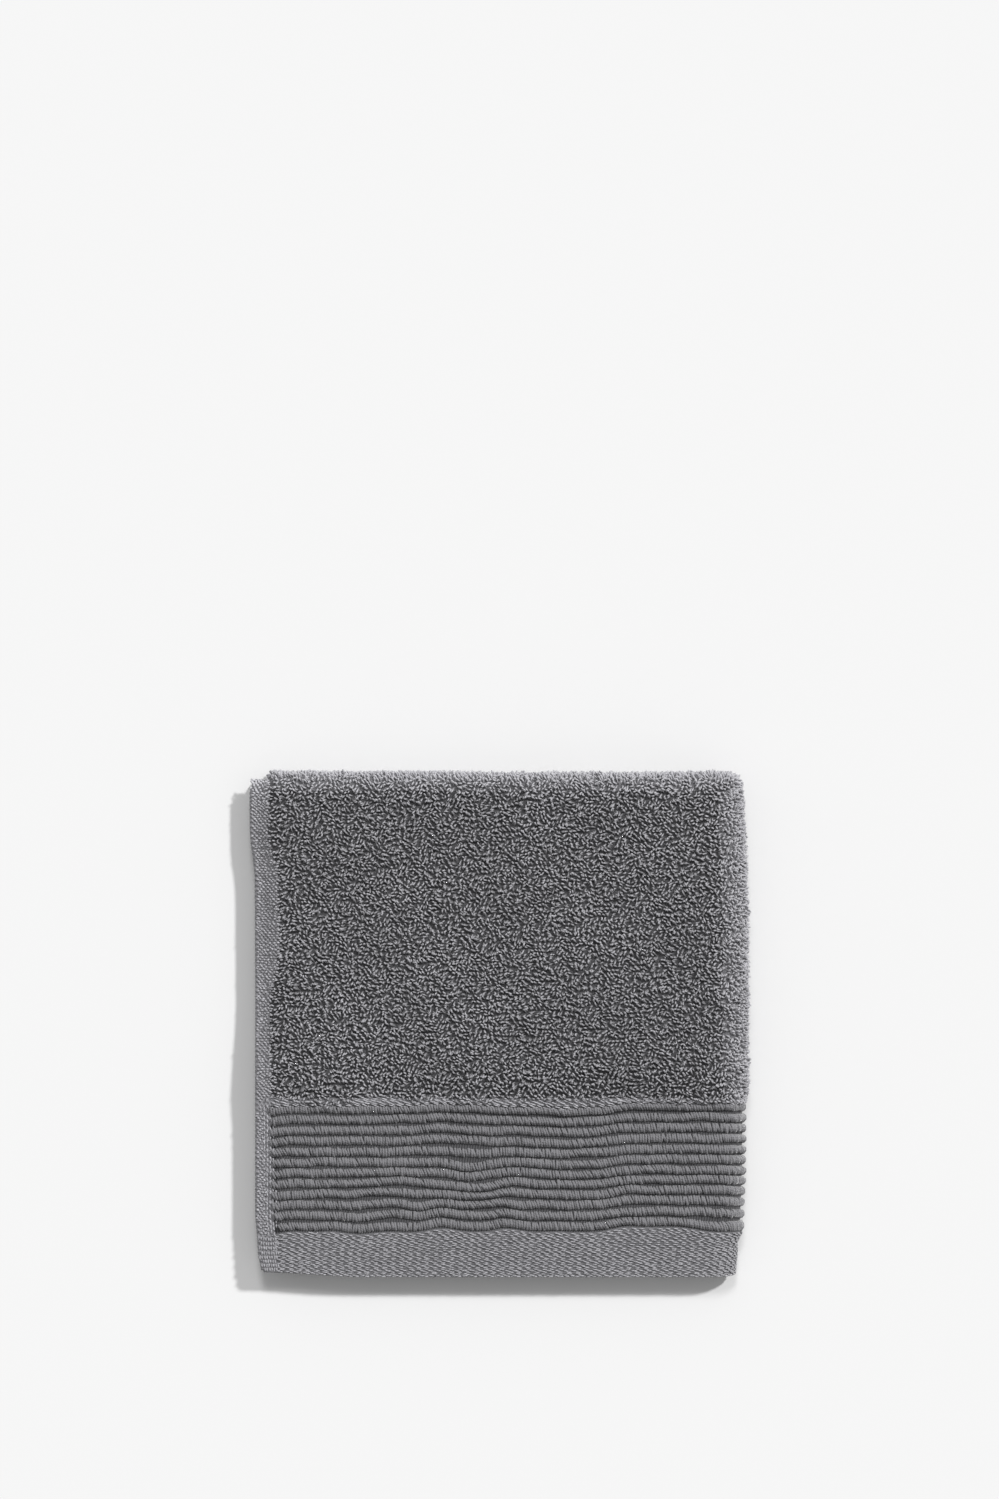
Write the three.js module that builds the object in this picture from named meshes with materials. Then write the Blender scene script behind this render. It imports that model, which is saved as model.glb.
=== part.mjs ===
// Folded washcloth: one square of ribbed terry cloth, folded in half twice and lying flat.
// Millimetres. X points right, Y points to the folded back edge, Z points up from the table.
// The first fold runs along the back edge, the second along the right side, around the first.
// The ribbed face is outside, so it shows on top, lies on the table and wraps the right side.

import * as THREE from 'three';

// Outline of the folded cloth, seen from above.
const RIGHT = 75.2;
const FRONT = -76.0;
const FOLD_LINE = 71.8;
const HEM_DEPTH = 13.7;
const RIB_COUNT = 12;
const RIB_PITCH = 3.2;
const RIBS_FROM = FRONT + HEM_DEPTH;
const RIBS_TO = RIBS_FROM + RIB_COUNT * RIB_PITCH;
const FLAT_BAND = 1.9;
const PILE_FROM = RIBS_TO + FLAT_BAND;

// Towards the selvedge the hem rises and the back fold is drawn in.
const HEM_RISE = { from: -40, to: -72, by: 1.6 };
const BACK_DRAWN_IN = { from: -68.7, to: -70.1, by: 2.4 };

// How far the back fold's two ends are rounded off.
const BACK_CORNERS = { left: 0.8, right: 1.5 };

// Height that one layer takes up in the stack, and the air between two layers.
const PILE_ROOM = 3.4;
const RIB_ROOM = 2.4;
const HEM_ROOM = 1.8;
const LAYER_GAP = 0.6;

// How far past a border the change from one zone's height to the next one's reaches.
const BLEND = { hemIntoRibs: 4, pileIntoRibs: 5, ribsIntoPile: 9 };

// The stack is springy at the folds, settles towards the open side and sinks at the selvedges.
const SETTLED = { from: 30, to: -66, pile: 1.0, ribs: 0.25 };
const SELVEDGE_SAG = { starts: 9, ends: 1, ribs: 0.4, pile: 1.0, pileFrom: -22, pileFull: 12 };

// Half of the woven cloth's own thickness, and how deep a valley between two ribs is.
const WEAVE_HALF = 0.72;
const RIB_DEPTH = 1.25;
const RIB_FULLNESS = 0.7;

// How far the back fold reaches past its line, and how much further than a half circle
// the side fold reaches.
const BACK_REACH = 4.2;
const PILE_NOSE = 0.6;
const HEM_NOSE = 2.6;
const NOSE_BLEND = 6;

// The left side: the selvedge bows in towards the hem, and the pile starts beside it.
const LEFT_STATIONS = [
  { y: 76, edge: -75.2, pile: -69.4 },
  { y: 58, edge: -75.1, pile: -69.4 },
  { y: 44, edge: -73.6, pile: -66.4 },
  { y: 24, edge: -73.5, pile: -66.0 },
  { y: 4, edge: -73.4, pile: -68.8 },
  { y: -22, edge: -73.4, pile: -68.6 },
  { y: -56, edge: -73.4, pile: -67.6 },
  { y: -68, edge: -72.6, pile: -67.2 },
  { y: -76, edge: -71.6, pile: -66.8 },
];

// The right side: the pile reaches furthest, the hem least.
const RIGHT_STATIONS = [
  { y: 76, side: RIGHT - 2.2 },
  { y: 64, side: RIGHT - 1.2 },
  { y: 46, side: RIGHT - 0.4 },
  { y: 30, side: RIGHT },
  { y: -16, side: RIGHT },
  { y: -26, side: RIGHT - 0.9 },
  { y: -44, side: RIGHT - 1.0 },
  { y: -62, side: RIGHT - 1.6 },
  { y: -66, side: RIGHT - 3.2 },
  { y: -76, side: RIGHT - 3.9 },
];

// How far each layer's selvedge and hem lie in from the top one's. Layer 1 is the lowest.
const LAYER_INSETS = [
  { layer: 1, side: 1.3, hem: 0.9 },
  { layer: 2, side: 0.5, hem: 1.5 },
  { layer: 3, side: 1.0, hem: 0.6 },
  { layer: 4, side: 0.0, hem: 0.0 },
];

// Wavering of the ribs on the top layer: a hump or dip at x, for the ribs first to last.
// Rib 1 lies next to the pile. A negative shift is towards the hem.
const RIB_WAVES = [
  { x: -69, reach: 4, first: 1, last: 12, shift: -0.6 },
  { x: -42, reach: 5, first: 11, last: 12, shift: -0.8 },
  { x: -32, reach: 10, first: 8, last: 10, shift: 0.8 },
  { x: -25, reach: 4, first: 10, last: 10, shift: -0.7 },
  { x: -18, reach: 9, first: 1, last: 4, shift: 0.7 },
  { x: -17, reach: 5, first: 11, last: 12, shift: 1.0 },
  { x: -8, reach: 6, first: 6, last: 8, shift: -1.2 },
  { x: 1, reach: 4, first: 10, last: 12, shift: 0.9 },
  { x: 6, reach: 6, first: 7, last: 8, shift: 0.7 },
  { x: 20, reach: 12, first: 1, last: 7, shift: -0.6 },
  { x: 66, reach: 9, first: 12, last: 12, shift: -1.4 },
];
const RIB_STEP = { x: 34, reach: 7, upper: 0.9, lower: 1.5, from: 5, to: 10 };
const RIB_WAVE_SPREAD = 1.2;

// Soft unevenness of the top: places that rise or sink a little.
const SWELLS = [
  { x: -44, y: 50, reach: 20, rise: 0.5 },
  { x: 18, y: 44, reach: 24, rise: -0.5 },
  { x: 52, y: 56, reach: 16, rise: 0.4 },
  { x: -34, y: 2, reach: 18, rise: 0.5 },
  { x: 44, y: 6, reach: 20, rise: -0.4 },
  { x: -10, y: -46, reach: 22, rise: 0.3 },
  { x: 46, y: -52, reach: 16, rise: -0.2 },
];

// Where the bare weave ends and full pile starts, beside the pile's line.
const PILE_STEP = { weave: -0.6, pile: 0.3 };

// Tufts of pile that hang over the flat band.
const TUFTS = [
  { x: -52, reach: 6, drop: 1.2 },
  { x: -20, reach: 8, drop: 1.0 },
  { x: 24, reach: 10, drop: 0.4 },
];

// How finely the folded surface is divided.
const LOWER_COLUMNS = 9;
const UPPER_COLUMNS = 17;
const SIDE_TURNS = 8;
const BACK_TURNS = 6;
const POINTS_PER_RIB = 4;

// Length of cloth in the turn of the first fold.
const TURN_LENGTH = 8;

const { clamp, lerp, degToRad } = THREE.MathUtils;

// 0 at from, 1 at to, smooth between, whichever way round they are.
function ease(value, from, to) {
  const t = clamp((value - from) / (to - from), 0, 1);
  return t * t * (3 - 2 * t);
}

function hump(distance, reach) {
  return Math.exp(-((distance / reach) ** 2));
}

// Reads a column of a station table at y, smoothly between its rows.
function station(table, column, y) {
  const last = table.length - 1;
  if (y >= table[0].y) return table[0][column];
  if (y <= table[last].y) return table[last][column];
  const i = table.findIndex((row) => y > row.y);
  return lerp(table[i][column], table[i - 1][column], ease(y, table[i].y, table[i - 1].y));
}

// Height that each layer takes at a place, pile or not.
function room(x, y) {
  const hemToRibs = ease(y, FRONT, RIBS_FROM + BLEND.hemIntoRibs);
  const ribsToPile = ease(y, RIBS_TO - BLEND.pileIntoRibs, PILE_FROM + BLEND.ribsIntoPile);
  const settled = ease(x, SETTLED.from, SETTLED.to);
  const ribs = RIB_ROOM - SETTLED.ribs * settled;
  const pile = PILE_ROOM - SETTLED.pile * settled;
  const plain = lerp(lerp(HEM_ROOM, ribs, hemToRibs), pile, ribsToPile);
  const edge = station(LEFT_STATIONS, 'edge', y);
  const besidePile = ease(y, SELVEDGE_SAG.pileFrom, SELVEDGE_SAG.pileFull);
  const sag = lerp(SELVEDGE_SAG.ribs, SELVEDGE_SAG.pile, besidePile) * hemToRibs;
  return plain - sag * ease(x, edge + SELVEDGE_SAG.starts, edge + SELVEDGE_SAG.ends);
}

// Height of the plane about which the second fold mirrors the lower pair of layers.
function foldHeight(x, y) {
  return 2 * room(x, y) + 1.5 * LAYER_GAP;
}

function sideNose(y) {
  return lerp(HEM_NOSE, PILE_NOSE, ease(y, RIBS_FROM - NOSE_BLEND, PILE_FROM));
}

// Where the second fold starts to turn.
function turnX(y) {
  return station(RIGHT_STATIONS, 'side', y) - foldHeight(RIGHT, y) - sideNose(y);
}

function ribShift(x, rib) {
  let shift = 0;
  for (const wave of RIB_WAVES) {
    const outside = Math.max(wave.first - rib, rib - wave.last, 0);
    shift += wave.shift * hump(x - wave.x, wave.reach) * hump(outside, RIB_WAVE_SPREAD);
  }
  const step = lerp(RIB_STEP.upper, RIB_STEP.lower, ease(rib, RIB_STEP.from, RIB_STEP.to));
  return shift + step * ease(x, RIB_STEP.x - RIB_STEP.reach, RIB_STEP.x + RIB_STEP.reach);
}

function tuftDrop(x) {
  return TUFTS.reduce((sum, tuft) => sum + tuft.drop * hump(x - tuft.x, tuft.reach), 0);
}

function swell(x, y) {
  return SWELLS.reduce((sum, s) => sum + s.rise * hump(Math.hypot(x - s.x, y - s.y), s.reach), 0);
}

// Rows of one face, each a line that runs the whole way from selvedge to selvedge.
// A row's pair is 0 on the layer that ends up outside and 1 on the one inside it.
// Its relief is the height of its surface: 1 for full pile or a rib's crest, 0 for bare weave.
function zoneRows(pair, pointsPerRib) {
  const rows = [
    { pair, y: FRONT, hem: true, relief: 0 },
    { pair, y: FRONT + HEM_DEPTH / 2, relief: 0 },
  ];
  const steps = RIB_COUNT * pointsPerRib;
  for (let i = 0; i <= steps; i++) {
    const wave = Math.sin((Math.PI * (i % pointsPerRib)) / pointsPerRib);
    const rib = RIB_COUNT + 0.5 - i / pointsPerRib;
    rows.push({ pair, y: RIBS_FROM + (i * RIB_PITCH) / pointsPerRib, rib, crest: wave ** RIB_FULLNESS });
  }
  rows.push({ pair, y: PILE_FROM - 0.5, tuft: 0.5, relief: 0 });
  rows.push({ pair, y: PILE_FROM + 0.2, tuft: 1, pile: 0.8 });
  for (const y of [PILE_FROM + 2.2, -12, -2, 16, 36, 56]) rows.push({ pair, y, pile: 1 });
  return rows;
}

function backZoneRows(pair) {
  const heights = [RIBS_FROM, -43, RIBS_TO, PILE_FROM + 0.2];
  const woven = heights.map((y) => ({ pair, y, relief: 0 }));
  const terry = [PILE_FROM + 1.4, -12, 16, 44].map((y) => ({ pair, y, pile: 1 }));
  return [{ pair, y: FRONT, hem: true, relief: 0 }, ...woven, ...terry];
}

function turnRows(steps) {
  const rows = [];
  for (let i = 0; i <= steps; i++) rows.push({ turn: -90 + (180 * i) / steps, pile: 1 });
  return rows;
}

function faceRows(side) {
  const outer = side > 0 ? zoneRows(0, POINTS_PER_RIB) : backZoneRows(0);
  const inner = side > 0 ? zoneRows(1, 2) : backZoneRows(1);
  return [...outer, ...turnRows(side > 0 ? BACK_TURNS : 4), ...inner.reverse()];
}

// Columns run from the lower selvedge, around the second fold, to the upper selvedge.
function sheetColumns() {
  const half = (upper, count) => {
    const columns = [{ upper, at: 0 }, { upper, at: 'weave' }, { upper, at: 'pile' }];
    for (let i = 1; i <= count; i++) columns.push({ upper, at: 'field', part: i / count });
    return columns;
  };
  const turns = [];
  for (let i = 1; i < SIDE_TURNS; i++) turns.push({ turn: -90 + (180 * i) / SIDE_TURNS });
  return [...half(false, LOWER_COLUMNS), ...turns, ...half(true, UPPER_COLUMNS).reverse()];
}

// How far in a point's layer lies, mixed where the folds join two layers into one.
function layerInset(row, column, measure) {
  const inside = row.turn === undefined ? row.pair : (row.turn + 90) / 180;
  const inset = (layer) => LAYER_INSETS[layer - 1][measure];
  const lower = lerp(inset(1), inset(2), inside);
  const upper = lerp(inset(4), inset(3), inside);
  if (column.turn === undefined) return column.upper ? upper : lower;
  return lerp(lower, upper, (column.turn + 90) / 180);
}

function columnX(row, column, y) {
  const corner = row.turn === undefined ? 0 : Math.cos(degToRad(row.turn)) ** 2;
  const turnsAt = turnX(y) - corner * BACK_CORNERS.right;
  if (column.turn !== undefined) return turnsAt;
  const rounded = corner * BACK_CORNERS.left;
  const edge = station(LEFT_STATIONS, 'edge', y) + layerInset(row, column, 'side') + rounded;
  const pile = station(LEFT_STATIONS, 'pile', y) + rounded;
  if (column.at === 0) return edge;
  if (column.at === 'weave') return pile + PILE_STEP.weave;
  if (column.at === 'pile') return pile + PILE_STEP.pile;
  return lerp(pile + PILE_STEP.pile, turnsAt, column.part);
}

// Distance from the middle of the layer's room to its surface.
function surfaceOffset(row, column, x, y, side) {
  const half = room(x, y) / 2;
  const weave = Math.min(WEAVE_HALF, half);
  const selvedge = column.at === 0 || column.at === 'weave';
  if (selvedge || row.relief === 0) return weave;
  if (row.crest !== undefined) return half - RIB_DEPTH * (1 - row.crest);
  return side > 0 ? lerp(weave, half, row.pile) : half;
}

// The folded place of one point of one face. Side is 1 on the ribbed face and -1 on the other.
function fold(row, column, side) {
  const onTop = column.upper ? 1 : 0;
  const turned = column.turn === undefined ? onTop : (column.turn + 90) / 180;
  let y = row.turn === undefined ? row.y : FOLD_LINE;
  const x = columnX(row, column, y);
  if (row.hem) y += layerInset(row, column, 'hem') + HEM_RISE.by * ease(x, HEM_RISE.from, HEM_RISE.to);
  if (row.rib !== undefined) y += turned * ribShift(x, row.rib);
  if (row.tuft) y -= onTop * row.tuft * tuftDrop(x);

  const half = room(x, y) / 2;
  const offset = surfaceOffset(row, column, x, y, side);
  const mid = half + LAYER_GAP / 2;
  let h = row.pair ? 2 * mid + half + side * offset : half - side * offset;
  if (row.turn !== undefined) {
    const angle = degToRad(row.turn);
    const radius = mid + side * offset;
    y -= BACK_DRAWN_IN.by * ease(x, BACK_DRAWN_IN.from, BACK_DRAWN_IN.to);
    y += (radius + BACK_REACH - LAYER_GAP / 2 - 2 * half) * Math.cos(angle);
    h = half + mid + radius * Math.sin(angle);
  }

  const middle = foldHeight(x, y);
  const point = new THREE.Vector3(x, y, onTop ? 2 * middle - h : h);
  if (column.turn !== undefined) {
    const angle = degToRad(column.turn);
    point.x = x + (middle - h + sideNose(y)) * Math.cos(angle);
    point.z = middle + (middle - h) * Math.sin(angle);
  }
  point.z *= 1 + swell(point.x, y) / (2 * middle);
  return point;
}

// How far along the cloth a row lies, from the outside layer's hem to the inside layer's.
function alongCloth(row) {
  if (row.turn !== undefined) return FOLD_LINE + TURN_LENGTH * ((row.turn + 90) / 180);
  return row.pair ? 2 * FOLD_LINE + TURN_LENGTH - row.y : row.y;
}

// Closed skin: ribbed face, other face, the two hem edges and the two selvedge edges.
function clothGeometry() {
  const columns = sheetColumns();
  const width = columns.length;
  const ribbed = faceRows(1);
  const other = faceRows(-1);
  const ribbedPoints = ribbed.map((row) => columns.map((column) => fold(row, column, 1)));
  const otherPoints = other.map((row) => columns.map((column) => fold(row, column, -1)));
  const loop = [...ribbedPoints, ...otherPoints.reverse()];
  const index = [];

  for (let i = 0; i < loop.length; i++) {
    const next = (i + 1) % loop.length;
    for (let j = 0; j < width - 1; j++) {
      const [a, b] = [i * width + j, i * width + j + 1];
      const [c, d] = [next * width + j, next * width + j + 1];
      index.push(a, c, b, b, c, d);
    }
  }
  for (const column of [0, width - 1]) {
    const ribbedEdge = ribbed.map((row, i) => [alongCloth(row), i * width + column]);
    const otherEdge = other.map((row, i) => [alongCloth(row), (loop.length - 1 - i) * width + column]);
    index.push(...selvedgeEdge(ribbedEdge, otherEdge, column > 0));
  }

  const geometry = new THREE.BufferGeometry();
  const positions = loop.flat().flatMap((point) => point.toArray());
  geometry.setAttribute('position', new THREE.Float32BufferAttribute(positions, 3));
  geometry.setIndex(index);
  geometry.computeVertexNormals();
  return geometry;
}

// Fills the long narrow edge between the two faces at one selvedge, from hem to hem.
// Each face gives its edge as pairs of distance along the cloth and vertex number.
function selvedgeEdge(ribbedEdge, otherEdge, flip) {
  const triangles = [];
  let i = 0;
  let j = 0;
  while (i < ribbedEdge.length - 1 || j < otherEdge.length - 1) {
    const nextRibbed = ribbedEdge[i + 1]?.[0] ?? Infinity;
    const nextOther = otherEdge[j + 1]?.[0] ?? Infinity;
    const here = [ribbedEdge[i][1], otherEdge[j][1]];
    if (nextRibbed <= nextOther) i++;
    else j++;
    const next = nextRibbed <= nextOther ? ribbedEdge[i][1] : otherEdge[j][1];
    triangles.push(here[0], flip ? next : here[1], flip ? here[1] : next);
  }
  return triangles;
}

function washcloth() {
  const grey = new THREE.MeshStandardMaterial({ color: 0x6a6a6d, roughness: 0.95, metalness: 0 });
  const mesh = new THREE.Mesh(clothGeometry(), grey);
  mesh.name = 'washcloth';
  return mesh;
}

const part = new THREE.Group();
part.add(washcloth());

export default part;
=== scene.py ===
# Folded terry washcloth on a plain pale floor, seen from straight above.
# Shapes are worked out in millimetres and written to Blender in metres.

import math

import bpy
import numpy as np
from numpy.random import default_rng
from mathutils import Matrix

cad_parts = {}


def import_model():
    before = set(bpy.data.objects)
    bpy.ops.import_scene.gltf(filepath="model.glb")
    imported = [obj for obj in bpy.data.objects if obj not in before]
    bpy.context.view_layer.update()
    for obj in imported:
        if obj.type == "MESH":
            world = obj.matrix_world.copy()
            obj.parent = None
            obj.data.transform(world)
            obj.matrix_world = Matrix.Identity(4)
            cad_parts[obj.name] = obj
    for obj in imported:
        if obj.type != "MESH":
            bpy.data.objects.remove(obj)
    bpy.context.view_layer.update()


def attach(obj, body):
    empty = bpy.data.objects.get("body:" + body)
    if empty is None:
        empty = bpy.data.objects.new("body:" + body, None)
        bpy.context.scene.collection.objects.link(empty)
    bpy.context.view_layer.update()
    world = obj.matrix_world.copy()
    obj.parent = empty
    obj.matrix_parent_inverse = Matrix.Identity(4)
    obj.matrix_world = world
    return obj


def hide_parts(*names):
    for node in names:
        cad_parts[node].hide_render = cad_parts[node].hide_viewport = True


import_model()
MM = 0.001
FLOOR_CLEARANCE = 0.02

# The folded outline, as in the solid: X to the right, Y to the back fold, Z up.
RIGHT = 75.2
FRONT = -76.0
FOLD_LINE = 71.8
HEM_DEPTH = 13.7
RIB_COUNT = 12
RIB_PITCH = 3.2
RIBS_FROM = FRONT + HEM_DEPTH
RIBS_TO = RIBS_FROM + RIB_COUNT * RIB_PITCH
FLAT_BAND = 1.9
PILE_FROM = RIBS_TO + FLAT_BAND

# Height of one layer in the stack, the air between layers and the woven cloth's half thickness.
PILE_ROOM = 3.4
RIB_ROOM = 2.4
HEM_ROOM = 1.8
LAYER_GAP = 0.6
WEAVE_HALF = 0.72
GROUND_HALF = 0.45
RIB_DEPTH = 1.25
CREST_FULLNESS = 2.4

# How far past a border the change from one zone's height to the next one's reaches.
HEM_INTO_RIBS = 4
PILE_INTO_RIBS = 5
RIBS_INTO_PILE = 9

# The stack settles towards the open side, by so much for pile and ribs, and sinks at the selvedges.
SETTLED_OVER = (30, -66)
SETTLED_PILE = 1.0
SETTLED_RIBS = 0.25
SAG_STARTS = 9
SAG_ENDS = 1
SAG_RIBS = 0.4
SAG_PILE = 1.0
SAG_PILE_OVER = (-22, 12)

# How far the back fold reaches past its line.
BACK_REACH = 4.2

# How much further than a half circle the side fold reaches beside pile and hem, and how they blend.
PILE_NOSE = 0.6
HEM_NOSE = 2.6
NOSE_BLEND = 6

# How far the back fold's two ends are rounded off.
CORNER_LEFT = 0.8
CORNER_RIGHT = 1.5

# The back fold is drawn in along the selvedge, over this stretch of x and from this y to the fold.
DRAWN_IN = 2.4
DRAWN_OVER = (-68.7, -70.1)
DRAWN_FROM = 62

# The hem's edge lies further back towards the selvedge.
HEM_RISE = 1.6
HEM_RISE_OVER = (-40, -72)

# Cloth coordinates: across runs from the lower selvedge to the upper one, and along runs
# from the outside layer's hem, below zero, through the back turn to the inside layer's hem.
HALF_WIDTH = 142.0
SIDE_TURN = 25.0
BACK_TURN = 12.0
CLOTH_WIDTH = 2 * HALF_WIDTH + SIDE_TURN
TURNED = HALF_WIDTH + SIDE_TURN
HEM_ALONG = FRONT - FOLD_LINE

# The left side at several places from back to front: selvedge edge, start of the pile.
LEFT_Y = [76, 58, 44, 24, 4, -22, -56, -68, -76]
LEFT_EDGE = [-75.2, -75.1, -73.6, -73.5, -73.4, -73.4, -73.4, -72.6, -71.6]
LEFT_PILE = [-69.4, -69.4, -66.4, -66.0, -68.8, -68.6, -67.6, -67.2, -66.8]

# The right side: the pile reaches furthest, the hem least.
RIGHT_Y = [76, 64, 46, 30, -16, -26, -44, -62, -66, -76]
RIGHT_SIDE = [73.0, 74.0, 74.8, 75.2, 75.2, 74.3, 74.2, 73.6, 72.0, 71.3]

# How far the selvedge and the hem of layers 1 to 4 lie in from the top one's.
SIDE_INSETS = [1.3, 0.5, 1.0, 0.0]
HEM_INSETS = [0.9, 1.5, 0.6, 0.0]

# Wavering of the ribs on the top layer: x, reach, first rib, last rib, shift.
RIB_WAVES = [
    (-69, 4, 1, 12, -0.6),
    (-42, 5, 11, 12, -0.8),
    (-32, 10, 8, 10, 0.8),
    (-25, 4, 10, 10, -0.7),
    (-18, 9, 1, 4, 0.7),
    (-17, 5, 11, 12, 1.0),
    (-8, 6, 6, 8, -1.2),
    (1, 4, 10, 12, 0.9),
    (6, 6, 7, 8, 0.7),
    (20, 12, 1, 7, -0.6),
    (66, 9, 12, 12, -1.4),
]
WAVE_SPREAD = 1.2

# All ribs step back over a stretch of x, the upper ones less than the lower ones.
RIB_STEP_OVER = (27, 41)
RIB_STEP_UPPER = 0.9
RIB_STEP_LOWER = 1.5
RIB_STEP_RIBS = (5, 10)

# A slight tremor, different from rib to rib, and how far all wavering reaches at hem and band.
RIB_TREMOR = 0.16
TREMOR_APART = 9.0
WAVES_INTO_HEM = 7
WAVES_SHORT = 1.0

# Soft unevenness of the top: x, y, reach, rise.
SWELLS = [
    (-44, 50, 20, 0.5),
    (18, 44, 24, -0.5),
    (52, 56, 16, 0.4),
    (-34, 2, 18, 0.5),
    (44, 6, 20, -0.4),
    (-10, -46, 22, 0.3),
    (46, -52, 16, -0.2),
]

# The pile's lower edge on the top layer, with the tufts that hang over the flat band.
TUFT_X = [-69, -59, -53, -47, -41, -33, -26, -18, -9, 1, 12, 28, 38, 52, 64, 69, 74]
TUFT_Y = [-21.4, -23.6, -24.3, -23.5, -21.4, -21.3, -23.0, -21.9, -23.1, -22.1, -22.8, -22.2,
          -21.3, -22.7, -24.0, -23.4, -21.4]

# Places on the top where the pile is a little darker or lighter: x, y, reach, by.
PILE_SHADES = [
    (-46, 55, 22, -0.1),
    (45, -4, 22, -0.13),
    (-46, -5, 22, 0.04),
    (45, 55, 20, 0.05),
]

# Places along the back fold where the loops are shorter or taller: x, reach, by.
BACK_TUFTS = [(-46, 9, -0.22), (0, 8, -0.14), (68, 5, 0.25)]

# Width over which the ground turns from bare weave to pile.
PILE_BLUR = 0.7

# Where the sheet's ribs start to rise beside the pile's line, and where they are full.
RIBS_START = -1.2
RIBS_RISEN = 0.3

# Smooth random fields: seed, shortest wave, longest wave.
FIELDS = {
    "ribs": (11, 9, 26),
    "left edge": (21, 3, 11),
    "front edge": (22, 2, 6),
    "heading": (31, 6, 19),
    "flock": (32, 4, 11),
    "height": (33, 5, 14),
    "shade": (34, 12, 45),
    "rib slant": (41, 8, 30),
    "rib shade": (42, 6, 30),
    "hem": (52, 6, 20),
    "band": (59, 8, 30),
}
FIELD_WAVES = 9


# Small helpers

def ease(value, start, end):
    t = np.clip((value - start) / (end - start), 0.0, 1.0)
    return t * t * (3 - 2 * t)


def mix(a, b, t):
    return a + (b - a) * t


def hump(distance, reach):
    return np.exp(-((distance / reach) ** 2))


def station(places, values, y):
    """Reads a value at y, smoothly between the places, which run from back to front."""
    result = np.full_like(y, values[0], dtype=float)
    for i in range(1, len(places)):
        t = ease(y, places[i - 1], places[i])
        result = result + (values[i] - values[i - 1]) * t
    return result


def wander(x, y, field):
    """A smooth random field between about -1 and 1, from plane waves."""
    seed, shortest, longest = FIELDS[field]
    rng = default_rng(seed)
    total = np.zeros_like(x, dtype=float)
    for _ in range(FIELD_WAVES):
        length = rng.uniform(shortest, longest)
        heading = rng.uniform(0, 2 * math.pi)
        phase = rng.uniform(0, 2 * math.pi)
        reach = x * math.cos(heading) + y * math.sin(heading)
        total += np.sin(2 * math.pi * reach / length + phase)
    return total / math.sqrt(FIELD_WAVES)


# The folded shape

def edge_line(y):
    return station(LEFT_Y, LEFT_EDGE, y)


def pile_line(y):
    return station(LEFT_Y, LEFT_PILE, y)


def room(x, y):
    """Height that each layer takes up."""
    hem_to_ribs = ease(y, FRONT, RIBS_FROM + HEM_INTO_RIBS)
    ribs_to_pile = ease(y, RIBS_TO - PILE_INTO_RIBS, PILE_FROM + RIBS_INTO_PILE)
    settled = ease(x, *SETTLED_OVER)
    ribs = RIB_ROOM - SETTLED_RIBS * settled
    pile = PILE_ROOM - SETTLED_PILE * settled
    plain = mix(mix(HEM_ROOM, ribs, hem_to_ribs), pile, ribs_to_pile)
    edge = edge_line(y)
    sag = mix(SAG_RIBS, SAG_PILE, ease(y, *SAG_PILE_OVER)) * hem_to_ribs
    return plain - sag * ease(x, edge + SAG_STARTS, edge + SAG_ENDS)


def fold_height(x, y):
    return 2 * room(x, y) + 1.5 * LAYER_GAP


def side_nose(y):
    return mix(HEM_NOSE, PILE_NOSE, ease(y, RIBS_FROM - NOSE_BLEND, PILE_FROM))


def turn_x(y):
    side = station(RIGHT_Y, RIGHT_SIDE, y)
    return side - fold_height(np.full_like(y, RIGHT), y) - side_nose(y)


def rib_number(y):
    return (RIBS_TO - y) / RIB_PITCH + 0.5


def rib_shift(x, y):
    """How far the ribs at a place waver towards the back."""
    rib = np.clip(rib_number(y), 1, RIB_COUNT)
    shift = np.zeros_like(x)
    for at, reach, first, last, by in RIB_WAVES:
        outside = np.maximum(np.maximum(first - rib, rib - last), 0)
        shift += by * hump(x - at, reach) * hump(outside, WAVE_SPREAD)
    step = mix(RIB_STEP_UPPER, RIB_STEP_LOWER, ease(rib, *RIB_STEP_RIBS))
    shift += step * ease(x, *RIB_STEP_OVER)
    shift += RIB_TREMOR * wander(x, rib * TREMOR_APART, "ribs")
    fade = ease(y, RIBS_FROM - WAVES_INTO_HEM, RIBS_FROM)
    return shift * (fade * ease(y, PILE_FROM, RIBS_TO - WAVES_SHORT))


def swell(x, y):
    return sum(rise * hump(np.hypot(x - sx, y - sy), reach) for sx, sy, reach, rise in SWELLS)


def layer_mix(values, inside, upper):
    low = mix(values[0], values[1], inside)
    high = mix(values[3], values[2], inside)
    return mix(low, high, upper)


def layer_parts(along, across):
    """How far a point of the cloth is on the inside layer, and how far on an upper one."""
    inside = np.clip(along / BACK_TURN, 0, 1)
    upper = np.clip((across - HALF_WIDTH) / SIDE_TURN, 0, 1)
    return inside, upper


def flat_place(along, across):
    """Where a point of the cloth lies on its layer, before the turns lift it."""
    inside, upper = layer_parts(along, across)
    y = FOLD_LINE + np.where(along < 0, along, np.minimum(BACK_TURN - along, 0))
    reach = np.where(across < HALF_WIDTH + SIDE_TURN / 2, across, CLOTH_WIDTH - across)
    part = np.clip(reach / HALF_WIDTH, None, 1)
    corner = np.cos(np.radians(-90 + 180 * inside)) ** 2
    edge = edge_line(y) + layer_mix(SIDE_INSETS, inside, upper)
    x = mix(edge + CORNER_LEFT * corner, turn_x(y) - CORNER_RIGHT * corner, part)
    return x, y


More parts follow.
